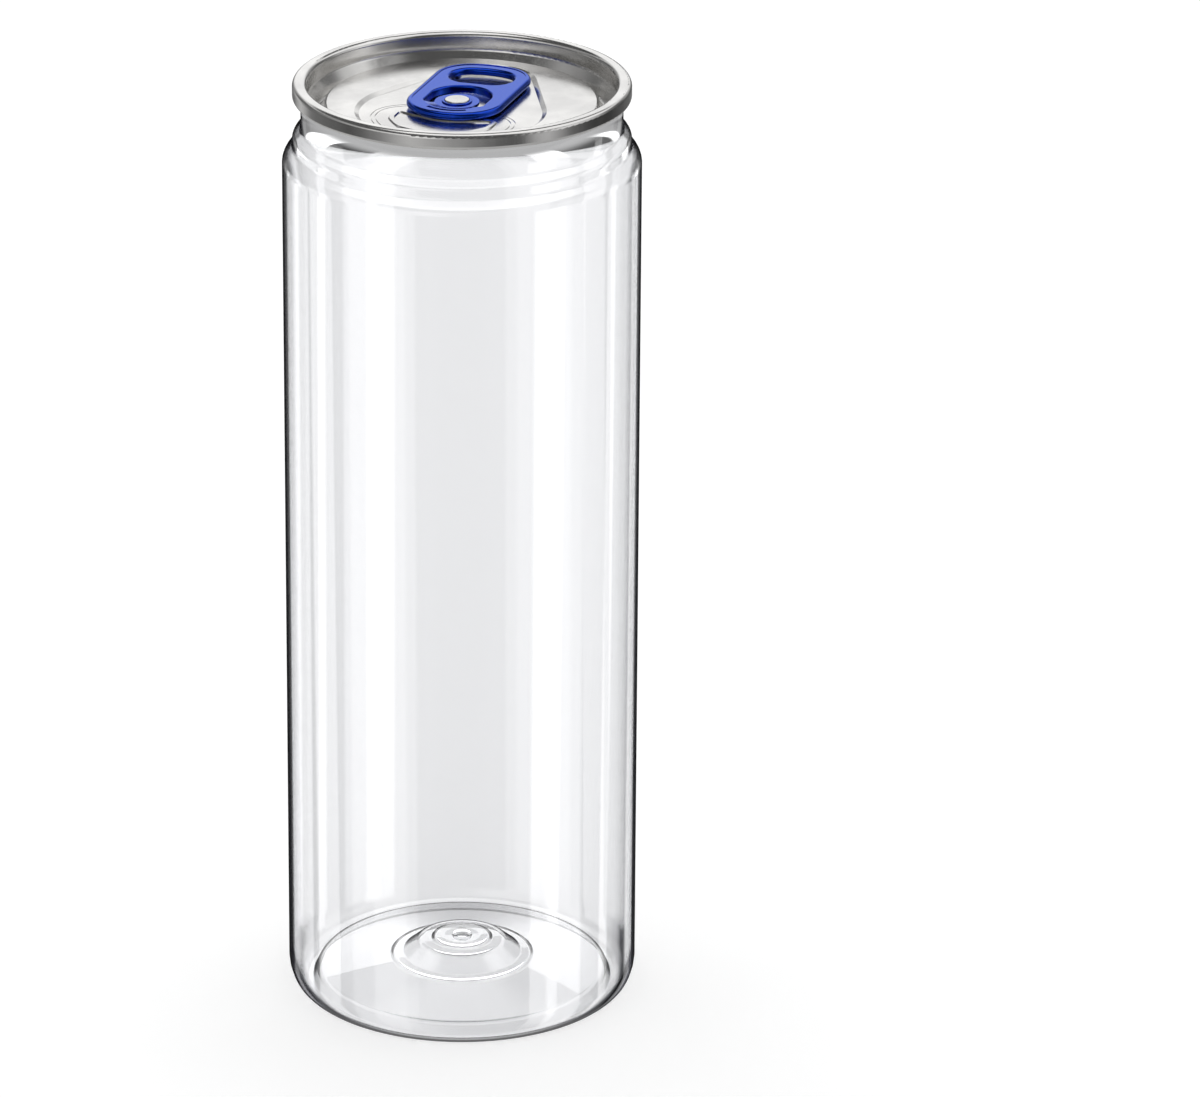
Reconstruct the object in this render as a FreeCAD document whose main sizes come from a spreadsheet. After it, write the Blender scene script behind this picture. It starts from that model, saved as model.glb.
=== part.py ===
"""Clear PET drinks can closed by a seamed aluminium easy-open end with a blue pull tab.

Frame: millimetres, +Z up, origin on the can's axis at the level of its foot ring.
The pull tab lies along Y: its finger ring points to +Y, and its nose, over the mouth, to -Y.
Sizes named Depth are measured down from the top of the seam.
"""
import FreeCAD
import Part
import Sketcher
import math
import os

Vector = FreeCAD.Vector

SIZES = {
    # the can as a whole
    "canHeight": 158.0,
    "bodyRadius": 29.0,
    "neckRadius": 25.95,
    "petWall": 0.6,
    # base of the clear body, outer surface, from the axis outwards
    "crownLevel": 7.1,
    "crownRadius": 4.4,
    "crownStep": 0.6,
    "stepRun": 0.45,
    "plinthRadius": 6.9,
    "plinthFootRadius": 9.7,
    "plinthFootLevel": 4.1,
    "ledgeWidth": 1.6,
    "ledgeStep": 0.5,
    "ledgeRun": 0.45,
    "floorRimRun": 0.9,
    "floorRimLevel": 2.1,
    "footInset": 4.4,
    "heelInset": 1.4,
    "heelLevel": 3.2,
    "crownRound": 0.3,
    "stepRound": 0.72,
    "plinthRound": 1.1,
    "plinthFootRound": 1.0,
    "ledgeRound": 0.3,
    "floorRound": 0.8,
    "rimRound": 0.8,
    "footRound": 0.85,
    "heelFootRound": 2.7,
    "heelRound": 6.0,
    "gateRadius": 1.7,
    "gateHeight": 0.5,
    "gateTaper": 20.0,
    # neck bead and shoulder of the clear body, outer surface
    "neckDepth": 7.8,
    "beadProud": 1.4,
    "beadTopDepth": 9.0,
    "beadFootDepth": 10.8,
    "shoulderDepth": 12.4,
    "neckRound": 0.8,
    "beadRound": 1.25,
    "grooveRound": 0.8,
    "shoulderRound": 2.6,
    # double seam that locks the end to the neck
    "endSheet": 0.3,
    "seamGap": 0.05,
    "seamHeight": 2.6,
    "seamRound": 0.75,
    "seamFootRound": 0.55,
    "bodyHookDepth": 2.1,
    "hookFlat": 0.06,
    "coverHookDepth": 1.2,
    # pressed end, upper surface
    "panelDepth": 3.3,
    "sinkDepth": 5.6,
    "sinkLean": 0.15,
    "sinkWidth": 1.35,
    "chuckDepth": 2.9,
    "chuckLean": 1.4,
    "panelRound": 0.5,
    "sinkRound": 0.55,
    "chuckRound": 1.0,
    # recessed field of the panel, a teardrop
    "fieldDrop": 0.45,
    "fieldTailCentre": 10.6,
    "fieldTailMargin": 2.9,
    "fieldNoseCentre": 5.5,
    "fieldNoseMargin": 1.2,
    "pressTaper": 58.0,
    # scored outline of the mouth and its inner guard line
    "mouthHalfWidth": 11.9,
    "mouthFoot": 19.35,
    "mouthJawWidth": 8.6,
    "mouthJawDepth": 16.4,
    "mouthCheekFoot": 11.4,
    "mouthCheekTop": 6.2,
    "mouthLobe": 6.3,
    "mouthLobeTop": 2.2,
    "mouthNotch": 4.4,
    "mouthNotchTop": 6.5,
    "mouthFootRound": 15.0,
    "mouthJawRound": 8.5,
    "mouthCheekFootRound": 6.5,
    "mouthCheekTopRound": 5.2,
    "mouthLobeRound": 1.1,
    "mouthNotchRound": 0.9,
    "scoreWidth": 0.18,
    "scoreDepth": 0.12,
    "guardInset": 0.75,
    "hingeWidth": 3.4,
    "hingeOffset": 1.6,
    # stiffening bead inside the mouth
    "ribHalfWidth": 8.8,
    "ribTop": 6.3,
    "ribCheekFoot": 11.2,
    "ribJawWidth": 5.9,
    "ribJawDepth": 14.9,
    "ribFoot": 16.9,
    "ribDip": 9.4,
    "ribTopRound": 1.5,
    "ribCheekRound": 4.0,
    "ribJawRound": 5.0,
    "ribFootRound": 12.0,
    "ribDipRound": 6.0,
    "ribWidth": 1.1,
    "ribHeight": 0.24,
    "ribTaper": 38.0,
    # finger well, set out from the ring and tail of the tab above it
    "wellSideMargin": 0.1,
    "wellTailMargin": 1.2,
    "wellNoseMargin": 0.95,
    "wellTailCorner": 2.6,
    "wellTailCrown": 11.0,
    "wellNoseCorner": 2.4,
    "wellNoseCrown": 30.0,
    "wellDrop": 0.3,
    # rivet drawn up from the panel
    "rivetOffset": 2.4,
    "rivetGap": 0.02,
    "bossFootRadius": 3.2,
    "bossTopRadius": 2.3,
    "shankRadius": 1.3,
    "shankGap": 0.05,
    "rivetBore": 0.8,
    "headRadius": 1.98,
    "headHeight": 0.36,
    "headRound": 0.14,
    "headDish": 0.1,
    # pull tab, measured from the rivet
    "tabHalfWidth": 8.0,
    "tabTail": 18.6,
    "tabNose": 7.8,
    "tabThickness": 1.3,
    "tabClear": 0.03,
    "tailCorner": 6.2,
    "tailCrown": 14.0,
    "noseCorner": 7.3,
    "noseCrown": 10.5,
    "curlRound": 0.6,
    "curlWidth": 0.8,
    "curlStep": 0.1,
    "foldInset": 1.3,
    "foldWidth": 0.55,
    "foldDepth": 0.6,
    "ringHalfWidth": 5.2,
    "ringTail": 15.85,
    "ringNose": 8.65,
    "ringTailCorner": 3.35,
    "ringTailCrown": 11.0,
    "ringNoseCorner": 3.3,
    "ringNoseCrown": 30.0,
    "ringTopRound": 0.6,
    "ringFootRound": 0.35,
    "archRadius": 5.0,
    "archCentre": 1.77,
    "slotEndRadius": 0.85,
    "archRound": 0.35,
    "tongueRadius": 3.6,
    "tongueDrop": 0.5,
    "tongueThickness": 0.45,
    "tongueClear": 0.15,
    "dishRadius": 5.3,
    "lipWidth": 0.42,
    "lipHeight": 0.22,
    "lipRound": 0.1,
    "creaseRadius": 5.95,
    "creaseAngle": 66.0,
    "creaseWidth": 0.8,
    "creaseDepth": 0.22,
}


class Dim:
    """A size: its number, and the spreadsheet expression that gives it."""

    def __init__(self, number, text):
        self.number = number
        self.text = text

    def __add__(self, other):
        other = dim(other)
        return Dim(self.number + other.number, f"({self.text} + {other.text})")

    def __sub__(self, other):
        other = dim(other)
        return Dim(self.number - other.number, f"({self.text} - {other.text})")

    def __mul__(self, other):
        other = dim(other)
        return Dim(self.number * other.number, f"({self.text} * {other.text})")

    def __truediv__(self, other):
        other = dim(other)
        return Dim(self.number / other.number, f"({self.text} / {other.text})")

    def __neg__(self):
        return Dim(-self.number, f"(0 - {self.text})")


def dim(value):
    return value if isinstance(value, Dim) else Dim(float(value), repr(float(value)))


ZERO = dim(0)
# Edges are told apart by place: level to within LEVEL, and inside an outline grown by NEAR.
LEVEL = 0.0001
NEAR = 0.05


def tangent(degrees):
    return Dim(math.tan(math.radians(degrees.number)), f"tan({degrees.text} * 1 deg)")


def square_root(value):
    return Dim(math.sqrt(value.number), f"sqrt({value.text})")


def arc_tangent(ratio):
    return Dim(math.degrees(math.atan(ratio.number)), f"(atan({ratio.text}) / 1 deg)")


doc = FreeCAD.newDocument("DrinksCan")
sheet = doc.addObject("Spreadsheet::Sheet", "Sizes")


class Sizes:
    """The spreadsheet's cells as named sizes."""


size = Sizes()
for row, (alias, number) in enumerate(SIZES.items(), start=1):
    sheet.set(f"A{row}", alias)
    sheet.set(f"B{row}", str(number))
    sheet.setAlias(f"B{row}", alias)
    setattr(size, alias, Dim(number, f"Sizes.{alias}"))
doc.recompute()

# Levels and radii that follow from the driving sizes.
rimLevel = size.canHeight
panelLevel = rimLevel - size.panelDepth
fieldLevel = panelLevel - size.fieldDrop
chuckRadius = size.neckRadius - size.petWall - size.seamGap - size.endSheet
ledgeRadius = size.plinthFootRadius + size.ledgeWidth
footRadius = size.bodyRadius - size.footInset
floorRimRadius = footRadius - size.floorRimRun
beadRadius = size.neckRadius + size.beadProud
sinkRadius = chuckRadius - size.chuckLean
panelRadius = sinkRadius - size.sinkWidth - size.sinkLean
fieldTailRadius = panelRadius - size.fieldTailMargin - size.fieldTailCentre
fieldNoseRadius = panelRadius - size.fieldNoseMargin - size.fieldNoseCentre
coverHookRadius = size.neckRadius + size.seamGap
bodyHookRadius = coverHookRadius + size.endSheet + size.seamGap
seamRadius = bodyHookRadius + size.petWall + size.seamGap + size.endSheet
tabFoot = fieldLevel + size.ribHeight + size.tabClear
tongueTop = size.tabThickness - size.tongueDrop
tongueFoot = tongueTop - size.tongueThickness
slotEndReach = size.tongueRadius + size.slotEndRadius
slotEndOffset = size.archRadius - size.slotEndRadius
slotEndDrop = square_root(slotEndReach * slotEndReach - slotEndOffset * slotEndOffset)


def depth(value):
    """Level of a point given as a depth below the top of the seam."""
    return rimLevel - value


# ---------------------------------------------------------------- sketches

class Draft:
    """Collects a sketch's constraints, then binds their values to the spreadsheet."""

    def __init__(self, sketch):
        self.sketch = sketch
        self.constraints = []
        self.bound = []

    def add(self, *facts):
        self.constraints.append(Sketcher.Constraint(*facts))

    def drive(self, value, *facts):
        self.bound.append((len(self.constraints), value))
        self.constraints.append(Sketcher.Constraint(*facts, value.number))

    def place(self, geometry, point, x, y):
        """Ties a point to the sketch's origin; None leaves that direction free."""
        for kind, axis, value in (("DistanceX", -2, x), ("DistanceY", -1, y)):
            if value is None:
                continue
            if value.text == ZERO.text:
                self.add("PointOnObject", geometry, point, axis)
            else:
                self.drive(value, kind, -1, 1, geometry, point)

    def finish(self):
        first = self.sketch.ConstraintCount
        self.sketch.addConstraint(self.constraints)
        for index, value in self.bound:
            self.sketch.setExpression(f"Constraints[{first + index}]", value.text)


def arc_through(centre, radius, start, stop):
    """Counter-clockwise arc between two points on a circle."""
    a = math.atan2(start.y - centre.y, start.x - centre.x)
    b = math.atan2(stop.y - centre.y, stop.x - centre.x)
    while b <= a:
        b += 2 * math.pi
    return Part.ArcOfCircle(Part.Circle(centre, Vector(0, 0, 1), radius), a, b)


def corner_path(sketch, corners, closed=False):
    """Straight runs through corners (x, y, round), with a tangent arc at each rounded corner.

    A rounded corner keeps its sharp point as construction, and both runs point at it.
    """
    draft = Draft(sketch)
    points = [Vector(x.number, y.number, 0) for x, y, _ in corners]
    count = len(corners)
    starts, ends, arcs = list(points), list(points), {}
    for i, (_, _, rounding) in enumerate(corners):
        if rounding is None:
            continue
        into = (points[i] - points[i - 1]).normalize()
        out = (points[(i + 1) % count] - points[i]).normalize()
        angle = math.atan2(into.x * out.y - into.y * out.x, into.dot(out))
        side = math.copysign(1, angle)
        cut = rounding.number * math.tan(abs(angle) / 2)
        ends[i] = points[i] - into * cut
        starts[i] = points[i] + out * cut
        centre = ends[i] + Vector(-into.y, into.x, 0) * rounding.number * side
        ordered = (ends[i], starts[i]) if side > 0 else (starts[i], ends[i])
        arcs[i] = (arc_through(centre, rounding.number, *ordered), side > 0)
    runs = [sketch.addGeometry(Part.LineSegment(starts[i], ends[(i + 1) % count]), False)
            for i in range(count if closed else count - 1)]
    for i, (x, y, rounding) in enumerate(corners):
        before = runs[i - 1] if closed or i > 0 else None
        after = runs[i] if i < len(runs) else None
        if i in arcs:
            shape, forward = arcs[i]
            arc = sketch.addGeometry(shape, False)
            corner = sketch.addGeometry(Part.Point(points[i]), True)
            draft.add("Tangent", before, 2, arc, 1 if forward else 2)
            draft.add("Tangent", after, 1, arc, 2 if forward else 1)
            draft.drive(rounding, "Radius", arc)
            draft.add("PointOnObject", corner, 1, before)
            draft.add("PointOnObject", corner, 1, after)
            draft.place(corner, 1, x, y)
            continue
        if before is not None and after is not None:
            draft.add("Coincident", before, 2, after, 1)
        if after is not None:
            draft.place(after, 1, x, y)
        else:
            draft.place(before, 2, x, y)
    draft.finish()


class Crowned:
    """An outline about the Y axis: straight sides, four rounded corners and two crowned ends.

    tail and nose are the levels where the crowns cross the axis. A hollow nose bulges inwards.
    """

    def __init__(self, half, tail, nose, tailCorner, tailCrown, noseCorner, noseCrown, hollow=False):
        self.half = half
        self.tail = tail
        self.nose = nose
        self.tailCorner = tailCorner
        self.tailCrown = tailCrown
        self.noseCorner = noseCorner
        self.noseCrown = noseCrown
        self.hollow = hollow

    def inset(self, by):
        grown = self.noseCrown + by if self.hollow else self.noseCrown - by
        return Crowned(self.half - by, self.tail - by, self.nose + by, self.tailCorner - by,
                       self.tailCrown - by, self.noseCorner - by, grown, self.hollow)

    def ends(self):
        """Centres and meeting points of the right-hand corners and the two crowns."""
        half, tail, nose = self.half.number, self.tail.number, self.nose.number
        corner, crown = self.tailCorner.number, self.tailCrown.number
        crownCentre = Vector(0, tail - crown, 0)
        rise = math.sqrt((crown - corner) ** 2 - (half - corner) ** 2)
        cornerCentre = Vector(half - corner, crownCentre.y + rise, 0)
        meet = crownCentre + (cornerCentre - crownCentre).normalize() * crown
        tailEnd = (crownCentre, cornerCentre, meet)
        corner, crown = self.noseCorner.number, self.noseCrown.number
        if self.hollow:
            crownCentre = Vector(0, nose - crown, 0)
            rise = math.sqrt((crown + corner) ** 2 - (half - corner) ** 2)
        else:
            crownCentre = Vector(0, nose + crown, 0)
            rise = -math.sqrt((crown - corner) ** 2 - (half - corner) ** 2)
        cornerCentre = Vector(half - corner, crownCentre.y + rise, 0)
        meet = crownCentre + (cornerCentre - crownCentre).normalize() * crown
        return tailEnd, (crownCentre, cornerCentre, meet)

    def draw(self, sketch):
        draft = Draft(sketch)
        (tailCentre, tailRight, tailMeet), (noseCentre, noseRight, noseMeet) = self.ends()

        def mirrored(point):
            return Vector(-point.x, point.y, 0)

        rightTop = Vector(self.half.number, tailRight.y, 0)
        rightFoot = Vector(self.half.number, noseRight.y, 0)
        tailRadius, noseRadius = self.tailCorner.number, self.noseCorner.number
        chain = []

        def arc(centre, radius, start, stop):
            chain.append((sketch.addGeometry(arc_through(centre, radius, start, stop), False), 1, 2))

        def line(start, stop):
            chain.append((sketch.addGeometry(Part.LineSegment(start, stop), False), 1, 2))

        arc(tailCentre, self.tailCrown.number, tailMeet, mirrored(tailMeet))
        arc(mirrored(tailRight), tailRadius, mirrored(tailMeet), mirrored(rightTop))
        line(mirrored(rightTop), mirrored(rightFoot))
        arc(mirrored(noseRight), noseRadius, mirrored(rightFoot), mirrored(noseMeet))
        if self.hollow:
            shape = arc_through(noseCentre, self.noseCrown.number, noseMeet, mirrored(noseMeet))
            chain.append((sketch.addGeometry(shape, False), 2, 1))
        else:
            arc(noseCentre, self.noseCrown.number, mirrored(noseMeet), noseMeet)
        arc(noseRight, noseRadius, noseMeet, rightFoot)
        line(rightFoot, rightTop)
        arc(tailRight, tailRadius, rightTop, tailMeet)
        for (one, _, out), (other, into, _) in zip(chain, chain[1:] + chain[:1]):
            draft.add("Tangent", one, out, other, into)
        left, right = chain[2][0], chain[6][0]
        draft.add("Vertical", left)
        draft.add("Vertical", right)
        draft.place(left, 1, -self.half, None)
        draft.place(right, 1, self.half, None)
        noseCrownLevel = self.nose - self.noseCrown if self.hollow else self.nose + self.noseCrown
        draft.place(chain[0][0], 3, ZERO, self.tail - self.tailCrown)
        draft.place(chain[4][0], 3, ZERO, noseCrownLevel)
        for index, radius in ((0, self.tailCrown), (1, self.tailCorner), (3, self.noseCorner),
                              (4, self.noseCrown), (5, self.noseCorner), (7, self.tailCorner)):
            draft.drive(radius, "Radius", chain[index][0])
        draft.finish()


def circle(sketch, radius, x=ZERO, y=ZERO):
    draft = Draft(sketch)
    shape = Part.Circle(Vector(x.number, y.number, 0), Vector(0, 0, 1), radius.number)
    geometry = sketch.addGeometry(shape, False)
    draft.drive(radius, "Radius", geometry)
    draft.place(geometry, 3, x, y)
    draft.finish()


# ---------------------------------------------------------------- features

def bind(feature, **values):
    for prop, value in values.items():
        feature.setExpression(prop, value.text)


def formed_sheet(name, corners, thickness):
    """A sheet revolved about the Z axis; the corners follow its outer face from the axis."""
    line = doc.addObject("Sketcher::SketchObject", f"{name}Line")
    line.Placement = FreeCAD.Placement(Vector(), FreeCAD.Rotation(Vector(1, 0, 0), 90))
    corner_path(line, corners)
    strip = doc.addObject("Part::Offset2D", f"{name}Strip")
    strip.Source = line
    strip.Fill = True
    strip.Mode = "Skin"
    strip.Join = "Intersection"
    bind(strip, Value=thickness)
    sheetForm = doc.addObject("Part::Revolution", f"{name}Form")
    sheetForm.Source = strip
    sheetForm.Axis = Vector(0, 0, 1)
    sheetForm.Angle = 360
    sheetForm.Solid = True
    doc.recompute()
    return sheetForm


def new_body(name, base=None):
    body = doc.addObject("PartDesign::Body", name)
    if base is not None:
        body.BaseFeature = base
    return body


def plane_sketch(body, name, role="XY_Plane", offset=ZERO):
    sketch = body.newObject("Sketcher::SketchObject", name)
    plane = next(item for item in body.Origin.OriginFeatures if item.Role == role)
    sketch.AttachmentSupport = [(plane, "")]
    sketch.MapMode = "FlatFace"
    if offset.text != ZERO.text:
        sketch.setExpression("AttachmentOffset.Base.z", offset.text)
    return sketch


def extrude(body, kind, name, draw, level, length, taper=None, upwards=None):
    """A Pad or Pocket of what draw puts in a level sketch; a positive taper widens it."""
    sketch = plane_sketch(body, f"{name}Outline", offset=level)
    draw(sketch)
    feature = body.newObject(f"PartDesign::{kind}", name)
    feature.Profile = sketch
    bind(feature, Length=length)
    if taper is not None:
        bind(feature, TaperAngle=taper)
    if upwards is not None:
        feature.Reversed = upwards if kind == "Pocket" else not upwards
    doc.recompute()
    return feature


def turned(body, kind, name, corners, plane="XZ_Plane", offset=ZERO, angle=None):
    """A Revolution or Groove of a closed outline about its sketch's upright axis."""
    sketch = plane_sketch(body, f"{name}Outline", plane, offset)
    corner_path(sketch, corners, closed=True)
    feature = body.newObject(f"PartDesign::{kind}", name)
    feature.Profile = sketch
    feature.ReferenceAxis = (sketch, ["V_Axis"])
    feature.Angle = 360
    if angle is not None:
        feature.Midplane = True
        bind(feature, Angle=angle)
    doc.recompute()
    return feature


def round_edges(body, name, chosen, radius):
    """Fillets the edges of the body's tip that chosen(edge) accepts."""
    base = body.Tip
    names = [f"Edge{i}" for i, edge in enumerate(base.Shape.Edges, start=1) if chosen(edge)]
    fillet = body.newObject("PartDesign::Fillet", name)
    fillet.Base = (base, names)
    bind(fillet, Radius=radius)
    doc.recompute()
    return fillet


def level_edges(level, inside=None):
    """Accepts edges that lie at one level and, if given, keep inside(x, y)."""
    def chosen(edge):
        box = edge.BoundBox
        flat = abs(box.ZMin - level.number) < LEVEL and abs(box.ZMax - level.number) < LEVEL
        if not flat:
            return False
        middle = edge.valueAt((edge.FirstParameter + edge.LastParameter) / 2)
        return inside is None or inside(middle.x, middle.y)
    return chosen


# ---------------------------------------------------------------- clear body

def make_can_body():
    """Stretch-blown PET shell: footed base, straight wall, shoulder, bead, neck and flange."""
    bendDepth = size.endSheet + size.seamGap + size.petWall
    bendRadius = (bodyHookRadius - size.neckRadius - size.hookFlat) / 2
    outline = [
        (ZERO, size.crownLevel, None),
        (size.crownRadius, size.crownLevel, size.crownRound),
        (size.crownRadius + size.stepRun, size.crownLevel - size.crownStep, size.stepRound),
        (size.plinthRadius, size.crownLevel - size.crownStep, size.plinthRound),
        (size.plinthFootRadius, size.plinthFootLevel, size.plinthFootRound),
        (ledgeRadius, size.plinthFootLevel, size.ledgeRound),
        (ledgeRadius + size.ledgeRun, size.plinthFootLevel - size.ledgeStep, size.floorRound),
        (floorRimRadius, size.floorRimLevel, size.rimRound),
        (footRadius, ZERO, size.footRound),
        (size.bodyRadius - size.heelInset, ZERO, size.heelFootRound),
        (size.bodyRadius, size.heelLevel, size.heelRound),
        (size.bodyRadius, depth(size.shoulderDepth), size.shoulderRound),
        (beadRadius, depth(size.beadFootDepth), size.grooveRound),
        (beadRadius, depth(size.beadTopDepth), size.beadRound),
        (size.neckRadius, depth(size.neckDepth), size.neckRound),
        (size.neckRadius, depth(bendDepth), bendRadius),
        (bodyHookRadius, depth(bendDepth), bendRadius),
        (bodyHookRadius, depth(size.bodyHookDepth), None),
    ]
    body = new_body("can_body", formed_sheet("bodyWall", outline, size.petWall))
    extrude(body, "Pad", "gateNub", lambda sketch: circle(sketch, size.gateRadius),
            size.crownLevel, size.gateHeight, taper=-size.gateTaper, upwards=False)
    return body


# ---------------------------------------------------------------- aluminium end

def field_outline(sketch, grow=ZERO):
    """Teardrop of the recessed field: a small tail arc and a large nose arc, joined by tangents."""
    draft = Draft(sketch)
    tailY, noseY = size.fieldTailCentre, -size.fieldNoseCentre
    tailRadius, noseRadius = fieldTailRadius + grow, fieldNoseRadius + grow
    lean = math.asin((noseRadius.number - tailRadius.number) / (tailY.number - noseY.number))

    def touch(y, radius, side):
        return Vector(side * radius.number * math.cos(lean), y.number + radius.number * math.sin(lean), 0)

    tailRight, tailLeft = touch(tailY, tailRadius, 1), touch(tailY, tailRadius, -1)
    noseRight, noseLeft = touch(noseY, noseRadius, 1), touch(noseY, noseRadius, -1)
    tailArc = arc_through(Vector(0, tailY.number, 0), tailRadius.number, tailRight, tailLeft)
    noseArc = arc_through(Vector(0, noseY.number, 0), noseRadius.number, noseLeft, noseRight)
    shapes = [tailArc, Part.LineSegment(tailLeft, noseLeft), noseArc,
              Part.LineSegment(noseRight, tailRight)]
    geometry = [sketch.addGeometry(shape, False) for shape in shapes]
    for one, other in zip(geometry, geometry[1:] + geometry[:1]):
        draft.add("Tangent", one, 2, other, 1)
    for arc, y, radius in ((geometry[0], tailY, tailRadius), (geometry[2], noseY, noseRadius)):
        draft.drive(radius, "Radius", arc)
        draft.place(arc, 3, ZERO, y)
    draft.finish()


def pressed_recess(body, name, draw, level, drop):
    """Presses an outline down into the sheet: a tapered plug below, and the recess above it."""
    bendShift = size.endSheet * tangent((dim(90) - size.pressTaper) / 2)
    floorShift = drop * tangent(size.pressTaper)
    extrude(body, "Pad", f"{name}Plug", lambda sketch: draw(sketch, bendShift - floorShift),
            level - drop - size.endSheet, drop + size.endSheet / 2, taper=size.pressTaper,
            upwards=True)
    extrude(body, "Pocket", name, lambda sketch: draw(sketch, ZERO), level, drop,
            taper=-size.pressTaper, upwards=False)


def mirrored_path(half):
    """Closes a run of corners on the right-hand side with its mirror image across the Y axis."""
    return half + [(-x, y, rounding) for x, y, rounding in reversed(half) if x.text != ZERO.text]


def offset_line(name, source, by):
    line = doc.addObject("Part::Offset2D", name)
    line.Source = source
    line.Mode = "Pipe"
    line.Join = "Intersection"
    bind(line, Value=by)
    return line


def raised(name, line, height, taper=None):
    """A closed level line extruded upwards; a positive taper widens it."""
    solid = doc.addObject("Part::Extrusion", name)
    solid.Base = line
    solid.DirMode = "Custom"
    solid.Dir = Vector(0, 0, 1)
    solid.Solid = True
    bind(solid, LengthFwd=height)
    if taper is not None:
        bind(solid, TaperAngle=taper)
    return solid


def raised_band(name, line, width, height, taper=None):
    """The band between a closed line and its offset inwards; a positive taper narrows its top."""
    inner = offset_line(f"{name}Inner", line, -width)
    band = doc.addObject("Part::Cut", name)
    band.Base = raised(f"{name}Blank", line, height, -taper if taper is not None else None)
    band.Tool = raised(f"{name}Core", inner, height, taper)
    return band


def field_line(name, corners, level):
    """A closed outline of rounded corners lying level over the field."""
    line = doc.addObject("Sketcher::SketchObject", name)
    line.setExpression("Placement.Base.z", level.text)
    corner_path(line, mirrored_path(corners), closed=True)
    return line


def make_rib():
    """Crescent-shaped stiffening bead that keeps the mouth's panel flat as it opens."""
    outline = [
        (ZERO, -size.ribDip, size.ribDipRound),
        (size.ribHalfWidth, -size.ribTop, size.ribTopRound),
        (size.ribHalfWidth, -size.ribCheekFoot, size.ribCheekRound),
        (size.ribJawWidth, -size.ribJawDepth, size.ribJawRound),
        (ZERO, -size.ribFoot, size.ribFootRound),
    ]
    line = field_line("ribLine", outline, fieldLevel)
    return raised_band("rib", line, size.ribWidth, size.ribHeight, size.ribTaper)


def make_score():
    """Score of the mouth and its guard line, both left whole at the hinge under the tab's nose."""
    outline = [
        (size.mouthNotch, -size.mouthNotchTop, size.mouthNotchRound),
        (size.mouthLobe, -size.mouthLobeTop, size.mouthLobeRound),
        (size.mouthHalfWidth, -size.mouthCheekTop, size.mouthCheekTopRound),
        (size.mouthHalfWidth, -size.mouthCheekFoot, size.mouthCheekFootRound),
        (size.mouthJawWidth, -size.mouthJawDepth, size.mouthJawRound),
        (ZERO, -size.mouthFoot, size.mouthFootRound),
    ]
    scoreFloor = fieldLevel - size.scoreDepth
    ringHeight = size.scoreDepth * 2
    hingeMargin = size.scoreWidth * 2
    line = field_line("mouthLine", outline, scoreFloor)
    guard = offset_line("guardLine", line, -size.guardInset)
    rings = [raised_band(name, source, size.scoreWidth, ringHeight)
             for name, source in (("score", line), ("guard", guard))]
    lines = doc.addObject("Part::MultiFuse", "scoreRings")
    lines.Shapes = rings
    hinge = doc.addObject("Part::Box", "hinge")
    bind(hinge, Length=size.hingeWidth, Width=size.guardInset + hingeMargin * 2,
         Height=ringHeight * 2)
    placed = {"x": -size.hingeOffset - size.hingeWidth / 2, "z": scoreFloor - size.scoreDepth,
              "y": -size.mouthNotchTop - size.guardInset - hingeMargin}
    for axis, value in placed.items():
        hinge.setExpression(f"Placement.Base.{axis}", value.text)
    score = doc.addObject("Part::Cut", "scoreLines")
    score.Base = lines
    score.Tool = hinge
    return score


def make_can_end():
    """Pressed end with its seam, countersink, recessed field, bead, scored mouth and rivet."""
    outline = [
        (ZERO, panelLevel, None),
        (panelRadius, panelLevel, size.panelRound),
        (panelRadius + size.sinkLean, depth(size.sinkDepth), size.sinkRound),
        (sinkRadius, depth(size.sinkDepth), size.sinkRound),
        (chuckRadius, depth(size.chuckDepth), size.chuckRound),
        (chuckRadius, rimLevel, size.seamRound),
        (seamRadius, rimLevel, size.seamRound),
        (seamRadius, depth(size.seamHeight), size.seamFootRound),
        (coverHookRadius, depth(size.seamHeight), size.seamFootRound),
        (coverHookRadius, depth(size.coverHookDepth), None),
    ]
    body = new_body("endPressing", formed_sheet("endWall", outline, -size.endSheet))
    pressed_recess(body, "field", field_outline, panelLevel, size.fieldDrop)
    well = Crowned(size.ringHalfWidth + size.wellSideMargin,
                   size.tabTail - size.rivetOffset + size.wellTailMargin,
                   size.ringNose - size.rivetOffset - size.wellNoseMargin,
                   size.wellTailCorner, size.wellTailCrown,
                   size.wellNoseCorner, size.wellNoseCrown)
    pressed_recess(body, "well", lambda sketch, grow: well.inset(-grow).draw(sketch),
                   fieldLevel, size.wellDrop)
    add_rivet(body)
    ribbed = doc.addObject("Part::MultiFuse", "ribbedEnd")
    ribbed.Shapes = [body, make_rib()]
    end = doc.addObject("Part::Cut", "can_end")
    end.Base = ribbed
    end.Tool = make_score()
    doc.recompute()
    return end


def add_rivet(body):
    """Rivet drawn up from the field: a conical boss, a shank through the tab and a dished head."""
    underside = fieldLevel - size.endSheet
    seat = tabFoot + tongueFoot - size.rivetGap
    headFoot = tabFoot + tongueTop + size.rivetGap
    outline = [
        (ZERO, underside, None),
        (size.bossFootRadius, underside, None),
        (size.bossFootRadius, fieldLevel, None),
        (size.bossTopRadius, seat, None),
        (size.shankRadius, seat, None),
        (size.shankRadius, headFoot, None),
        (size.headRadius, headFoot, None),
        (size.headRadius, headFoot + size.headHeight, size.headRound),
        (ZERO, headFoot + size.headHeight - size.headDish, None),
    ]
    turned(body, "Revolution", "rivet", outline, offset=size.rivetOffset)
    extrude(body, "Pocket", "rivetBore",
            lambda sketch: circle(sketch, size.rivetBore, y=-size.rivetOffset),
            underside, headFoot - underside, upwards=True)


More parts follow.
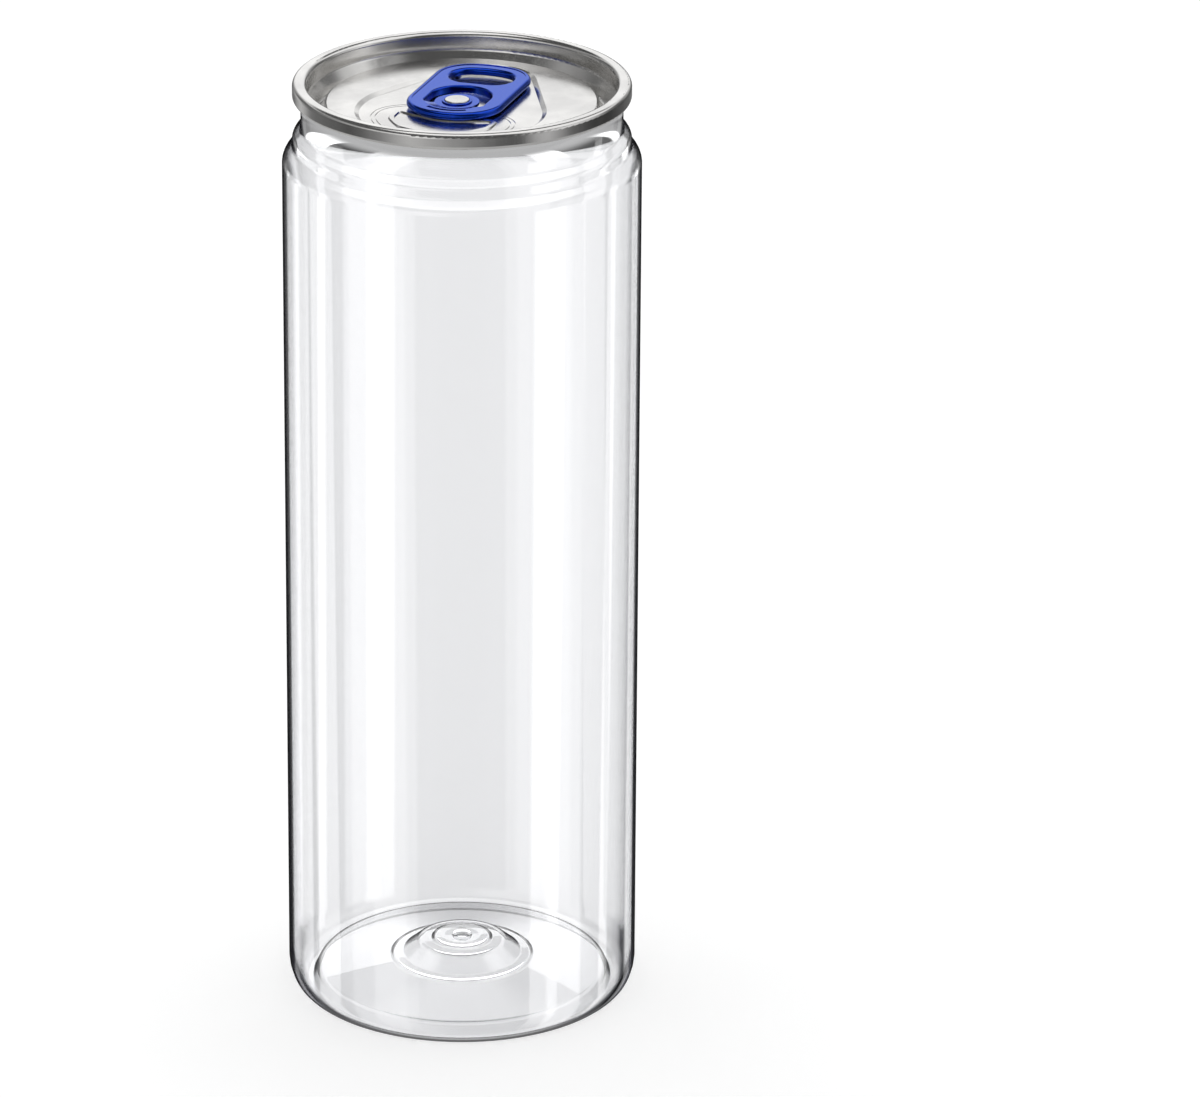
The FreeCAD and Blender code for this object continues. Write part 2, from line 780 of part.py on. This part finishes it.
# ---------------------------------------------------------------- pull tab

def make_pull_tab():
    """Ring-pull tab: curled rim, finger hole, and a tongue left by a C-shaped slot.

    Built about the rivet's axis, from the tab's underside upwards.
    """
    body = new_body("pull_tab")
    rim = Crowned(size.tabHalfWidth, size.tabTail, -size.tabNose, size.tailCorner,
                  size.tailCrown, size.noseCorner, size.noseCrown)
    ring = Crowned(size.ringHalfWidth, size.ringTail, size.ringNose, size.ringTailCorner,
                   size.ringTailCrown, size.ringNoseCorner, size.ringNoseCrown, hollow=True)
    top = size.tabThickness
    extrude(body, "Pad", "blank", rim.draw, ZERO, top)
    round_edges(body, "curlTop", level_edges(top), size.curlRound)
    round_edges(body, "curlFoot", level_edges(ZERO), size.curlRound)
    extrude(body, "Pocket", "curlStep", rim.inset(size.curlWidth).draw, top, size.curlStep,
            upwards=False)
    deck = top - size.curlStep

    def fold(sketch):
        rim.inset(size.foldInset).draw(sketch)
        rim.inset(size.foldInset + size.foldWidth).draw(sketch)

    extrude(body, "Pocket", "underFold", fold, ZERO, size.foldDepth, upwards=True)
    extrude(body, "Pocket", "fingerHole", ring.draw, deck, deck, upwards=False)

    def ring_edge(x, y):
        return abs(x) < ring.half.number + NEAR and abs(y - ringMiddle.number) < ringReach.number + NEAR

    ringMiddle = (ring.tail + ring.nose) / 2
    ringReach = (ring.tail - ring.nose) / 2
    round_edges(body, "fingerTop", level_edges(deck, ring_edge), size.ringTopRound)
    round_edges(body, "fingerFoot", level_edges(ZERO, ring_edge), size.ringFootRound)
    add_slot(body, deck)
    add_tongue(body, deck)
    body.setExpression("Placement.Base.y", (-size.rivetOffset).text)
    body.setExpression("Placement.Base.z", tabFoot.text)
    doc.recompute()
    return body


def add_slot(body, deck):
    """C-shaped slot: an arch above the tongue, two straight legs and rounded ends."""
    sketch = plane_sketch(body, "slotOutline", offset=deck)
    draft = Draft(sketch)
    arch, tongue, end = size.archRadius, size.tongueRadius, size.slotEndRadius
    drop, across = slotEndDrop.number, slotEndOffset.number
    centre, archCentre = Vector(0, 0, 0), Vector(0, size.archCentre.number, 0)
    endRight, endLeft = Vector(across, -drop, 0), Vector(-across, -drop, 0)
    meetRight, meetLeft = (point * (tongue.number / slotEndReach.number)
                           for point in (endRight, endLeft))
    legRight, legLeft = Vector(arch.number, -drop, 0), Vector(-arch.number, -drop, 0)
    archRight, archLeft = archCentre + Vector(arch.number, 0, 0), archCentre - Vector(arch.number, 0, 0)
    shapes = [
        arc_through(archCentre, arch.number, archRight, archLeft),
        Part.LineSegment(archLeft, legLeft),
        arc_through(endLeft, end.number, legLeft, meetLeft),
        arc_through(centre, tongue.number, meetRight, meetLeft),
        arc_through(endRight, end.number, meetRight, legRight),
        Part.LineSegment(legRight, archRight),
    ]
    crown, leftLeg, leftEnd, inner, rightEnd, rightLeg = [
        sketch.addGeometry(shape, False) for shape in shapes]
    draft.add("Tangent", crown, 2, leftLeg, 1)
    draft.add("Tangent", leftLeg, 2, leftEnd, 1)
    draft.add("Tangent", leftEnd, 2, inner, 2)
    draft.add("Tangent", inner, 1, rightEnd, 1)
    draft.add("Tangent", rightEnd, 2, rightLeg, 1)
    draft.add("Tangent", rightLeg, 2, crown, 1)
    draft.add("Vertical", leftLeg)
    draft.add("Vertical", rightLeg)
    draft.drive(arch, "Radius", crown)
    draft.drive(tongue, "Radius", inner)
    draft.drive(end, "Radius", leftEnd)
    draft.drive(end, "Radius", rightEnd)
    draft.place(crown, 3, ZERO, size.archCentre)
    draft.place(inner, 3, ZERO, ZERO)
    draft.finish()
    slot = body.newObject("PartDesign::Pocket", "slot")
    slot.Profile = sketch
    bind(slot, Length=deck)
    doc.recompute()

    def in_slot(x, y):
        return abs(x) < arch.number + NEAR and abs(y) < archCentre.y + arch.number + NEAR

    round_edges(body, "slotEdge", level_edges(deck, in_slot), size.archRound)


def add_tongue(body, deck):
    """Sets the tongue below the deck, dishes the nose down to it and opens it for the rivet."""
    extrude(body, "Pocket", "tongueTop", lambda sketch: circle(sketch, size.tongueRadius),
            deck, deck - tongueTop, upwards=False)
    extrude(body, "Pocket", "tongueFoot",
            lambda sketch: circle(sketch, size.tongueRadius + size.tongueClear),
            ZERO, tongueFoot, upwards=True)
    dishStart = size.tongueRadius / 2
    dish = [
        (-dishStart, tongueTop, None),
        (-dishStart, size.tabThickness, None),
        (-size.dishRadius, size.tabThickness, None),
        (-size.dishRadius, deck, None),
        (-size.tongueRadius, tongueTop, None),
    ]
    dishAngle = arc_tangent(slotEndOffset / slotEndDrop) * 2
    turned(body, "Groove", "dish", dish, plane="YZ_Plane", angle=dishAngle)
    half = size.creaseWidth / 2
    crease = [
        (-(size.creaseRadius - half), size.tabThickness, None),
        (-(size.creaseRadius + half), size.tabThickness, None),
        (-(size.creaseRadius + half / 2), deck - size.creaseDepth, None),
        (-(size.creaseRadius - half / 2), deck - size.creaseDepth, None),
    ]
    turned(body, "Groove", "crease", crease, plane="YZ_Plane", angle=size.creaseAngle)
    lipInner = size.headRadius + size.shankGap

    def lip(sketch):
        circle(sketch, lipInner)
        circle(sketch, lipInner + size.lipWidth)

    extrude(body, "Pad", "lip", lip, tongueTop, size.lipHeight, upwards=True)
    round_edges(body, "lipEdges", level_edges(tongueTop + size.lipHeight), size.lipRound)
    extrude(body, "Pocket", "rivetHole",
            lambda sketch: circle(sketch, size.shankRadius + size.shankGap),
            tongueTop, tongueTop - tongueFoot, upwards=False)


# ---------------------------------------------------------------- build and export

subParts = [make_can_body(), make_can_end(), make_pull_tab()]
doc.recompute()
for item in doc.Objects:
    if "Invalid" in item.State or "Error" in item.State:
        raise RuntimeError(f"{item.Name} did not build: {item.State}")
os.makedirs("parts", exist_ok=True)
for item in subParts:
    shape = item.Shape
    if shape.isNull() or not shape.isValid() or len(shape.Solids) != 1:
        raise RuntimeError(f"{item.Label} is not one valid solid")
    shape.exportStep(f"parts/{item.Label}.step")
    print(item.Label, round(shape.Volume, 1), shape.BoundBox)
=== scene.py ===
import math
import bpy
import bmesh
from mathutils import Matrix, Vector


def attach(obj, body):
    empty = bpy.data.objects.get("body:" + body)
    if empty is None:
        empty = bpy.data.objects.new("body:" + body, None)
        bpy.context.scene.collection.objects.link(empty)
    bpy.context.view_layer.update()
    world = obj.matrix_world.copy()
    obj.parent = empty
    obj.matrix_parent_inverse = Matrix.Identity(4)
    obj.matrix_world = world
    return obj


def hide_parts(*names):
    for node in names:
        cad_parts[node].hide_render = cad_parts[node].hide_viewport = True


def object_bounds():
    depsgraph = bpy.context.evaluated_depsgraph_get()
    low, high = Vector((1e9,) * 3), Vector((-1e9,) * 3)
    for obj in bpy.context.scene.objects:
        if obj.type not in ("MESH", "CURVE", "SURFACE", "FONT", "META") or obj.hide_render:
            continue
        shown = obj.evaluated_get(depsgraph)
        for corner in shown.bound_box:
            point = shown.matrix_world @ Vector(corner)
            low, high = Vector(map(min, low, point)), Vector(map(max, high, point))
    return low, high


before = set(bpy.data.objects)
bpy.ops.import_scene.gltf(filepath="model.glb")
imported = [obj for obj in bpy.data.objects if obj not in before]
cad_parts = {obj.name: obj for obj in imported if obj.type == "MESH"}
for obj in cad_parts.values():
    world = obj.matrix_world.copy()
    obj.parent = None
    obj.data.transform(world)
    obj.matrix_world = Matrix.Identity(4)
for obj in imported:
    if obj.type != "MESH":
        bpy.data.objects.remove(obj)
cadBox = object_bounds()
mm = 0.001  # sizes below are in millimetres unless a note says otherwise
tiny = 0.001 * mm  # points closer than this are one point
canRadius = round(cadBox[1][0] / mm, 2)
canHeight = round(cadBox[1][2] / mm, 2)


def linear(hexColour):  # sRGB hex to the linear values that the nodes take
    parts = [int(hexColour[i:i + 2], 16) / 255 for i in (1, 3, 5)]
    return [p / 12.92 if p <= 0.04045 else ((p + 0.055) / 1.055) ** 2.4 for p in parts] + [1]


def grey(level):  # a light level as a colour, where 1 is white
    return (level, level, level, 1)


# inputs go by name, or as input0 where names repeat, and each is a value or another node's output
def addNode(tree, kind, settings=None, **inputs):
    node = tree.nodes.new(kind)
    for name, value in (settings or {}).items():
        setattr(node, name, value)
    for name, value in inputs.items():
        numbered = name.startswith("input")
        socket = node.inputs[int(name.removeprefix("input")) if numbered else name.replace("_", " ")]
        if isinstance(value, bpy.types.NodeSocket):
            tree.links.new(value, socket)
        else:
            socket.default_value = value
    return node


def fillRamp(node, stops):  # stops are (position, colour) from the lowest up
    elements = node.color_ramp.elements
    elements.remove(elements[-1])
    for index, (position, colour) in enumerate(stops):
        element = elements[0] if index == 0 else elements.new(position)
        element.position = position
        element.color = colour


def newMaterial(name):
    material = bpy.data.materials.new(name)
    material.use_nodes = True
    material.node_tree.nodes.clear()
    return material, material.node_tree


def meshObject(name, bm, material, smooth=True):
    mesh = bpy.data.meshes.new(name)
    bm.to_mesh(mesh)
    bm.free()
    for face in mesh.polygons:
        face.use_smooth = smooth
    mesh.materials.append(material)
    made = bpy.data.objects.new(name, mesh)
    bpy.context.collection.objects.link(made)
    return made


def roundedLine(bm, corners, roundSteps):  # a wire through (x, z, radius), each corner rounded by a bevel
    points = [bm.verts.new((x * mm, 0, z * mm)) for x, z, radius in corners]
    for one, other in zip(points, points[1:]):
        bm.edges.new((one, other))
    for index in range(1, len(corners) - 1):
        radius = corners[index][2]
        if not radius:
            continue
        before = Vector(corners[index - 1][:2]) - Vector(corners[index][:2])
        after = Vector(corners[index + 1][:2]) - Vector(corners[index][:2])
        turn = math.pi - before.angle(after)
        bmesh.ops.bevel(bm, geom=[points[index]], offset=radius * mm * math.tan(turn / 2),
                        offset_type="OFFSET", segments=max(2, round(roundSteps * turn)), profile=0.5,
                        affect="VERTICES", material=-1)


def spunSurface(bm, turns):  # spins the wire round the can's axis
    bmesh.ops.spin(bm, geom=bm.verts[:] + bm.edges[:], cent=(0, 0, 0), axis=(0, 0, 1), dvec=(0, 0, 0),
                   angle=2 * math.pi, steps=turns, use_merge=True, use_normal_flip=False,
                   use_duplicate=False)
    bmesh.ops.remove_doubles(bm, verts=bm.verts[:], dist=tiny)
    bmesh.ops.recalc_face_normals(bm, faces=bm.faces[:])
    if bm.calc_volume(signed=True) < 0:  # an open shell can come out inside out
        bmesh.ops.reverse_faces(bm, faces=bm.faces[:])


# a long lens that looks down on the end; reach is from the can's axis, and azimuth and dip are in degrees
camera = {"reach": 1129, "height": 530, "azimuth": 19.4, "dip": 21.855, "lens": 221.97, "shift": 0.115,
          "clipStart": 50}
turnAngle = math.radians(camera["azimuth"])
cameraData = bpy.data.cameras.new("camera")
cameraData.lens = camera["lens"]
cameraData.shift_x = camera["shift"]
cameraData.clip_start = camera["clipStart"] * mm
cameraObject = bpy.data.objects.new("camera", cameraData)
cameraObject.location = (camera["reach"] * mm * math.sin(turnAngle),
                         -camera["reach"] * mm * math.cos(turnAngle), camera["height"] * mm)
cameraObject.rotation_euler = (math.radians(90 - camera["dip"]), 0, turnAngle)
bpy.context.collection.objects.link(cameraObject)
bpy.context.scene.camera = cameraObject
bpy.context.scene.view_settings.view_transform = "Standard"

studio = {
    "fill": 0.62,  # the even light from all round
    "lampPlace": (-200, 300, 1300), "lampAim": (0, 0, 80), "lampSize": 900, "lampWatts": 6.5,
    "floorSize": 3000, "floorGlow": 0.25, "floorColour": "#f2f2f2", "floorRoughness": 0.9,
    # what the clear wall mirrors round the can: bright cards and black flags, as (degrees, level),
    # where the degrees count from the camera's side
    "rightCards": [(0, 0.05), (24, 0.05), (27, 0.03), (46, 0.03), (47.5, 2.8), (67, 2.8), (68.5, 0.15),
                   (80, 0.1), (105, 0.1), (106.5, 2.4), (114, 2.4), (115.5, 0.5), (130, 0.35), (133, 0.02),
                   (139, 0.02), (142, 0.6), (150, 0.6), (153, 0)],
    "leftCards": [(0, 0.05), (14, 0.05), (15, 0.15), (29, 0.15), (30.5, 1.3), (61, 1.3), (62.5, 0.05),
                  (90, 0.1), (91.5, 2.2), (112, 2.2), (113.5, 0.35), (131, 0.3), (134, 0.02), (140, 0.02),
                  (143, 0.5), (150, 0.5), (153, 0)],
    # what satin metal sees there instead, because the bright cards are for the wall's mirror gloss
    "rightBand": [(0, 0.3), (20, 0.16), (40, 0.08), (52, 0.5), (60, 0.62), (69, 0.4), (80, 0.15),
                  (100, 0.05), (120, 0.05), (140, 0.11), (160, 0.15), (180, 0.4)],
    "leftBand": [(0, 0.3), (20, 0.42), (40, 0.55), (60, 0.22), (80, 0.07), (100, 0.13), (124, 0.2),
                 (140, 0.6), (148, 0.4), (160, 0.13), (180, 0.4)],
    # above the horizon both see white cloth behind and at the left, and dark between
    "rightTent": [(0, 0.35), (20, 0.13), (40, 0.1), (60, 0.4), (80, 1.0), (100, 0.65), (115, 0.2),
                  (132, 0.12), (150, 0.4), (166, 1.1), (180, 1.15)],
    "leftTent": [(0, 0.35), (20, 1.0), (40, 1.0), (60, 0.7), (80, 0.4), (100, 0.28), (120, 0.16),
                 (142, 0.12), (156, 0.4), (168, 1.1), (180, 1.15)],
    # higher still, the same both ways round
    "sky": [(0, 0.04), (70, 0.04), (100, 0.5), (140, 0.9), (180, 1.15)],
    # a dark gap near the top, open at the right, draws thin lines along the metal's rolled edges
    "rightGap": [(0, 0.1), (40, 0.1), (65, 1.1), (135, 1.2), (158, 0.1), (180, 0.08)],
    "leftGap": [(0, 0.1), (180, 0.08)],
    # where each of these starts and is full, by height: 0 is level and 1 is straight up
    "tentRise": (-0.02, 0.16), "skyRise": (0.4, 0.5), "gapRise": (0.48, 0.58),
    # plain levels laid over them, as (start, full, level)
    "mirrorHeights": [(-0.6, -0.85, 0.5), (0.64, 0.72, 2.4), (0.84, 0.92, 0.6)],
    "satinHeights": [(-0.38, -0.52, 0.5), (0.86, 0.93, 1.2)],
}


def surround(tree, place, right, left, easing="LINEAR"):  # levels by angle, both ways from the camera's side
    cameraSide = (0, 0, math.radians(-90 - camera["azimuth"]))  # turns the gradient's start to the camera
    turned = addNode(tree, "ShaderNodeMapping", Vector=place, Rotation=cameraSide)
    turn = addNode(tree, "ShaderNodeTexGradient", {"gradient_type": "RADIAL"}, Vector=turned.outputs[0])
    back = addNode(tree, "ShaderNodeMath", {"operation": "SUBTRACT"}, input0=1.0, input1=turn.outputs["Fac"])
    leftHalf = addNode(tree, "ShaderNodeMath", {"operation": "GREATER_THAN"}, input0=turn.outputs["Fac"],
                       input1=0.5)
    halves = []
    for stops, way in ((right, turn.outputs["Fac"]), (left, back.outputs[0])):
        half = addNode(tree, "ShaderNodeValToRGB", Fac=way)
        half.color_ramp.interpolation = easing
        fillRamp(half, [(degrees / 360, grey(level)) for degrees, level in stops])
        halves.append(half.outputs["Color"])
    both = addNode(tree, "ShaderNodeMix", {"data_type": "RGBA"}, input0=leftHalf.outputs[0],
                   input6=halves[0], input7=halves[1])
    return both.outputs[2]


def layered(tree, place, shade, layers):  # lays (start, full, shade) over the first shade, by height
    rise = addNode(tree, "ShaderNodeSeparateXYZ", Vector=place)
    for start, full, over in layers:
        share = addNode(tree, "ShaderNodeMapRange", {"interpolation_type": "SMOOTHSTEP"},
                        Value=rise.outputs["Z"], From_Min=start, From_Max=full)
        mixed = addNode(tree, "ShaderNodeMix", {"data_type": "RGBA"}, input0=share.outputs[0], input6=shade,
                        input7=over)
        shade = mixed.outputs[2]
    return shade


# the world fills evenly, is white to the camera and through the clear wall, and keeps its cards for gloss
world = bpy.data.worlds.new("studio")
bpy.context.scene.world = world
world.use_nodes = True
tree = world.node_tree
tree.nodes.clear()
place = addNode(tree, "ShaderNodeTexCoord").outputs["Generated"]
tent = surround(tree, place, studio["rightTent"], studio["leftTent"], "EASE")
sky = surround(tree, place, studio["sky"], studio["sky"], "EASE")
gap = surround(tree, place, studio["rightGap"], studio["leftGap"], "EASE")
satin = surround(tree, place, studio["rightBand"], studio["leftBand"])
mirror = surround(tree, place, studio["rightCards"], studio["leftCards"])
shared = [(*studio["tentRise"], tent), (*studio["skyRise"], sky)]
satinTops = [(start, full, grey(level)) for start, full, level in studio["satinHeights"]]
mirrorTops = [(start, full, grey(level)) for start, full, level in studio["mirrorHeights"]]
satin = layered(tree, place, satin, shared + [(*studio["gapRise"], gap)] + satinTops)
mirror = layered(tree, place, mirror, shared + mirrorTops)
path = addNode(tree, "ShaderNodeLightPath")
cards = addNode(tree, "ShaderNodeMix", {"data_type": "RGBA"}, input0=path.outputs["Is Singular Ray"],
                input6=satin, input7=mirror)
fill = addNode(tree, "ShaderNodeBackground", Color=linear("#ffffff"), Strength=studio["fill"])
white = addNode(tree, "ShaderNodeBackground", Color=linear("#ffffff"), Strength=1.0)
gloss = addNode(tree, "ShaderNodeBackground", Color=cards.outputs[2], Strength=1.0)
lit = addNode(tree, "ShaderNodeMixShader", input0=path.outputs["Is Glossy Ray"], input1=fill.outputs[0],
              input2=gloss.outputs[0])
seen = addNode(tree, "ShaderNodeMath", {"operation": "MAXIMUM"}, input0=path.outputs["Is Camera Ray"],
               input1=path.outputs["Is Transmission Ray"])
shown = addNode(tree, "ShaderNodeMixShader", input0=seen.outputs[0], input1=lit.outputs[0],
                input2=white.outputs[0])
addNode(tree, "ShaderNodeOutputWorld", Surface=shown.outputs[0])

# matt white board, glowing a little where it is looked at, so that it goes to white under a soft shadow
floorMaterial, tree = newMaterial("mattWhiteSheet")
path = addNode(tree, "ShaderNodeLightPath")
seen = addNode(tree, "ShaderNodeMath", {"operation": "MAXIMUM"}, input0=path.outputs["Is Camera Ray"],
               input1=path.outputs["Is Transmission Ray"])
seenOrMirrored = addNode(tree, "ShaderNodeMath", {"operation": "MAXIMUM"}, input0=seen.outputs[0],
                         input1=path.outputs["Is Glossy Ray"])
glow = addNode(tree, "ShaderNodeMath", {"operation": "MULTIPLY"}, input0=seenOrMirrored.outputs[0],
               input1=studio["floorGlow"])
surface = addNode(tree, "ShaderNodeBsdfPrincipled", Base_Color=linear(studio["floorColour"]),
                  Roughness=studio["floorRoughness"], Specular_IOR_Level=0.0,
                  Emission_Color=linear("#ffffff"), Emission_Strength=glow.outputs[0])
addNode(tree, "ShaderNodeOutputMaterial", Surface=surface.outputs[0])
bm = bmesh.new()
bmesh.ops.create_grid(bm, x_segments=1, y_segments=1, size=studio["floorSize"] * mm)
floor = meshObject("floor", bm, floorMaterial, smooth=False)
floor.visible_glossy = False  # gloss sees the cards and flags down to the can's foot

lampData = bpy.data.lights.new("overhead", "AREA")
lampData.size = studio["lampSize"] * mm
lampData.energy = studio["lampWatts"]
lamp = bpy.data.objects.new("overhead", lampData)
lamp.location = Vector(studio["lampPlace"]) * mm
lamp.rotation_euler = (Vector(studio["lampAim"]) * mm - lamp.location).to_track_quat("-Z", "Y").to_euler()
lamp.visible_glossy = False  # gloss sees the cards alone
bpy.context.collection.objects.link(lamp)
print("camera, floor and light set")


clearBody = {
    "wall": 0.6, "turns": 256, "roundSteps": 5,  # a round has this many steps for each radian it turns
    # the outside as (radius, height, rounding): gate nub, raised middle, ledge, floor, standing ring, heel
    "base": [(0, 6.6, 0), (1.5, 6.6, 0.2), (1.7, 7.1, 0.1), (4.4, 7.1, 0.3), (4.85, 6.5, 0.72),
             (6.9, 6.5, 1.1), (9.7, 4.1, 1.0), (11.3, 4.1, 0.3), (11.75, 3.6, 0.8), (23.7, 2.1, 0.8),
             (24.6, 0, 0.85), (27.6, 0, 2.7), (canRadius, 3.2, 6.0)],
    # shoulder, bead and neck as (radius, depth below the rim, rounding), ending hidden inside the seam
    "neck": [(canRadius, 12.4, 2.6), (27.35, 10.8, 0.8), (27.35, 9.0, 1.25), (25.95, 7.8, 0.8),
             (25.95, 1.0, 0)],
    "ior": 1.575,
    "depthColour": "#c9ccd6", "depthDensity": 200.0,  # how the plastic tints light that goes through it
    "paintedEdgeShade": [(0.66, "#ffffff"), (0.78, "#bcbcbf"), (0.85, "#27272c")],  # painted shade, by how far it is seen edge on
    "paintedHeelShade": 0.26, "footHeights": (9, 2), "footRadii": (25, 27),  # painted shade, laid further over the heel, where the real plastic is thicker
}

# stretch-blown PET: mirror gloss, clear where it is seen square on, with painted shade making it dark grey
# where it is seen edge on and round the heel
pet, tree = newMaterial("stretchBlownPet")
facing = addNode(tree, "ShaderNodeLayerWeight", Blend=0.5)
place = addNode(tree, "ShaderNodeTexCoord").outputs["Object"]
split = addNode(tree, "ShaderNodeSeparateXYZ", Vector=place)
flat = addNode(tree, "ShaderNodeMapping", Vector=place, Scale=(1, 1, 0))
fromAxis = addNode(tree, "ShaderNodeVectorMath", {"operation": "LENGTH"}, input0=flat.outputs[0])
inner, outer = clearBody["footRadii"]
heel = addNode(tree, "ShaderNodeMapRange", {"interpolation_type": "SMOOTHSTEP"},
               Value=fromAxis.outputs["Value"], From_Min=inner * mm, From_Max=outer * mm)
upper, lower = clearBody["footHeights"]
# painted shade: darker towards the heel, by height and by distance from the axis
heelShadeShare = addNode(tree, "ShaderNodeMapRange", {"interpolation_type": "SMOOTHSTEP"}, Value=split.outputs["Z"],
               From_Min=upper * mm, From_Max=lower * mm, To_Max=clearBody["paintedHeelShade"])
# painted shade: seen edge on, or round the heel, the clear wall's colour runs from white to dark grey
shadeShare = addNode(tree, "ShaderNodeMath", {"operation": "MULTIPLY_ADD"}, input0=heel.outputs[0],
                 input1=heelShadeShare.outputs[0], input2=facing.outputs["Facing"])
edgeShadeRamp = addNode(tree, "ShaderNodeValToRGB", Fac=shadeShare.outputs[0])
fillRamp(edgeShadeRamp, [(position, linear(colour)) for position, colour in clearBody["paintedEdgeShade"]])
surface = addNode(tree, "ShaderNodeBsdfPrincipled", Base_Color=edgeShadeRamp.outputs["Color"], Roughness=0.0,
                  IOR=clearBody["ior"], Transmission_Weight=1.0)
depth = addNode(tree, "ShaderNodeVolumeAbsorption", Color=linear(clearBody["depthColour"]),
                Density=clearBody["depthDensity"])
addNode(tree, "ShaderNodeOutputMaterial", Surface=surface.outputs[0], Volume=depth.outputs[0])

bm = bmesh.new()
neck = [(radius, canHeight - below, rounding) for radius, below, rounding in clearBody["neck"]]
roundedLine(bm, clearBody["base"] + neck, clearBody["roundSteps"])
spunSurface(bm, clearBody["turns"])
canWall = meshObject("canWall", bm, pet)
wall = canWall.modifiers.new("wall", "SOLIDIFY")
wall.thickness = clearBody["wall"] * mm
wall.offset = -1  # the outline is the outside, so the wall grows inwards
wall.use_even_offset = True
canWall.visible_shadow = False  # clear plastic lets the light past
canWall.visible_glossy = False  # the metal mirrors the cards and not the dark inside of the wall
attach(canWall, "root")
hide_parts("can_body")
print("clear body made")


canEnd = {
    # real rolling marks are about 0.03 mm wide, so these are drawn as coarse as they need to be to show
    "swirl": 1.4, "stroke": 0.22, "strokeShare": 0.5, "markSpan": (0.3, 0.7), "relief": 0.006,
    "drawnOut": 0.06,  # marks run up the drawn walls, so their pattern is stretched that way
    "cloud": 9.0, "cloudSpan": (0.35, 0.65), "tones": ("#d2d1d0", "#e6e5e3"),
    "roughness": (0.12, 0.23),
}

# rolled and pressed aluminium: bare satin metal with fine marks, duller along them, and faintly cloudy
aluminium, tree = newMaterial("rolledAluminium")
place = addNode(tree, "ShaderNodeTexCoord").outputs["Object"]
drawn = addNode(tree, "ShaderNodeMapping", Vector=place, Scale=(1, 1, canEnd["drawnOut"]))
swirl = addNode(tree, "ShaderNodeTexNoise", Vector=drawn.outputs[0], Scale=1 / (canEnd["swirl"] * mm),
                Detail=3.0, Roughness=0.6, Distortion=0.3)
stroke = addNode(tree, "ShaderNodeTexNoise", Vector=drawn.outputs[0], Scale=1 / (canEnd["stroke"] * mm),
                 Detail=2.0, Roughness=0.5)
cloud = addNode(tree, "ShaderNodeTexNoise", Vector=place, Scale=1 / (canEnd["cloud"] * mm), Detail=2.0)
marks = addNode(tree, "ShaderNodeMix", {"data_type": "FLOAT"}, input0=canEnd["strokeShare"],
                input2=swirl.outputs["Fac"], input3=stroke.outputs["Fac"])
faint, strong = canEnd["markSpan"]
glossy, dull = canEnd["roughness"]
haze = addNode(tree, "ShaderNodeMapRange", Value=marks.outputs[0], From_Min=faint, From_Max=strong,
               To_Min=glossy, To_Max=dull)
thin, thick = canEnd["cloudSpan"]
cloudy = addNode(tree, "ShaderNodeMapRange", Value=cloud.outputs["Fac"], From_Min=thin, From_Max=thick)
dark, light = canEnd["tones"]
tone = addNode(tree, "ShaderNodeMix", {"data_type": "RGBA"}, input0=cloudy.outputs[0], input6=linear(dark),
               input7=linear(light))
grain = addNode(tree, "ShaderNodeBump", Height=marks.outputs[0], Strength=0.5,
                Distance=canEnd["relief"] * mm)
surface = addNode(tree, "ShaderNodeBsdfPrincipled", Base_Color=tone.outputs[2], Metallic=1.0,
                  Roughness=haze.outputs[0], Normal=grain.outputs[0])
addNode(tree, "ShaderNodeOutputMaterial", Surface=surface.outputs[0])
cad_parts["can_end"].material_slots[0].material = aluminium
print("aluminium end finished")


pullTab = {"lacquer": "#003cb8", "glance": "#dae7ff", "roughness": 0.17, "coat": 0.3, "coatRoughness": 0.05}

# aluminium under a clear blue lacquer: deep metallic blue, with a faint hard gloss over its satin shine
lacquer, tree = newMaterial("blueLacquer")
surface = addNode(tree, "ShaderNodeBsdfPrincipled", Base_Color=linear(pullTab["lacquer"]), Metallic=1.0,
                  Roughness=pullTab["roughness"], Coat_Weight=pullTab["coat"],
                  Coat_Roughness=pullTab["coatRoughness"], Specular_Tint=linear(pullTab["glance"]))
addNode(tree, "ShaderNodeOutputMaterial", Surface=surface.outputs[0])
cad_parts["pull_tab"].material_slots[0].material = lacquer
print("pull tab finished")
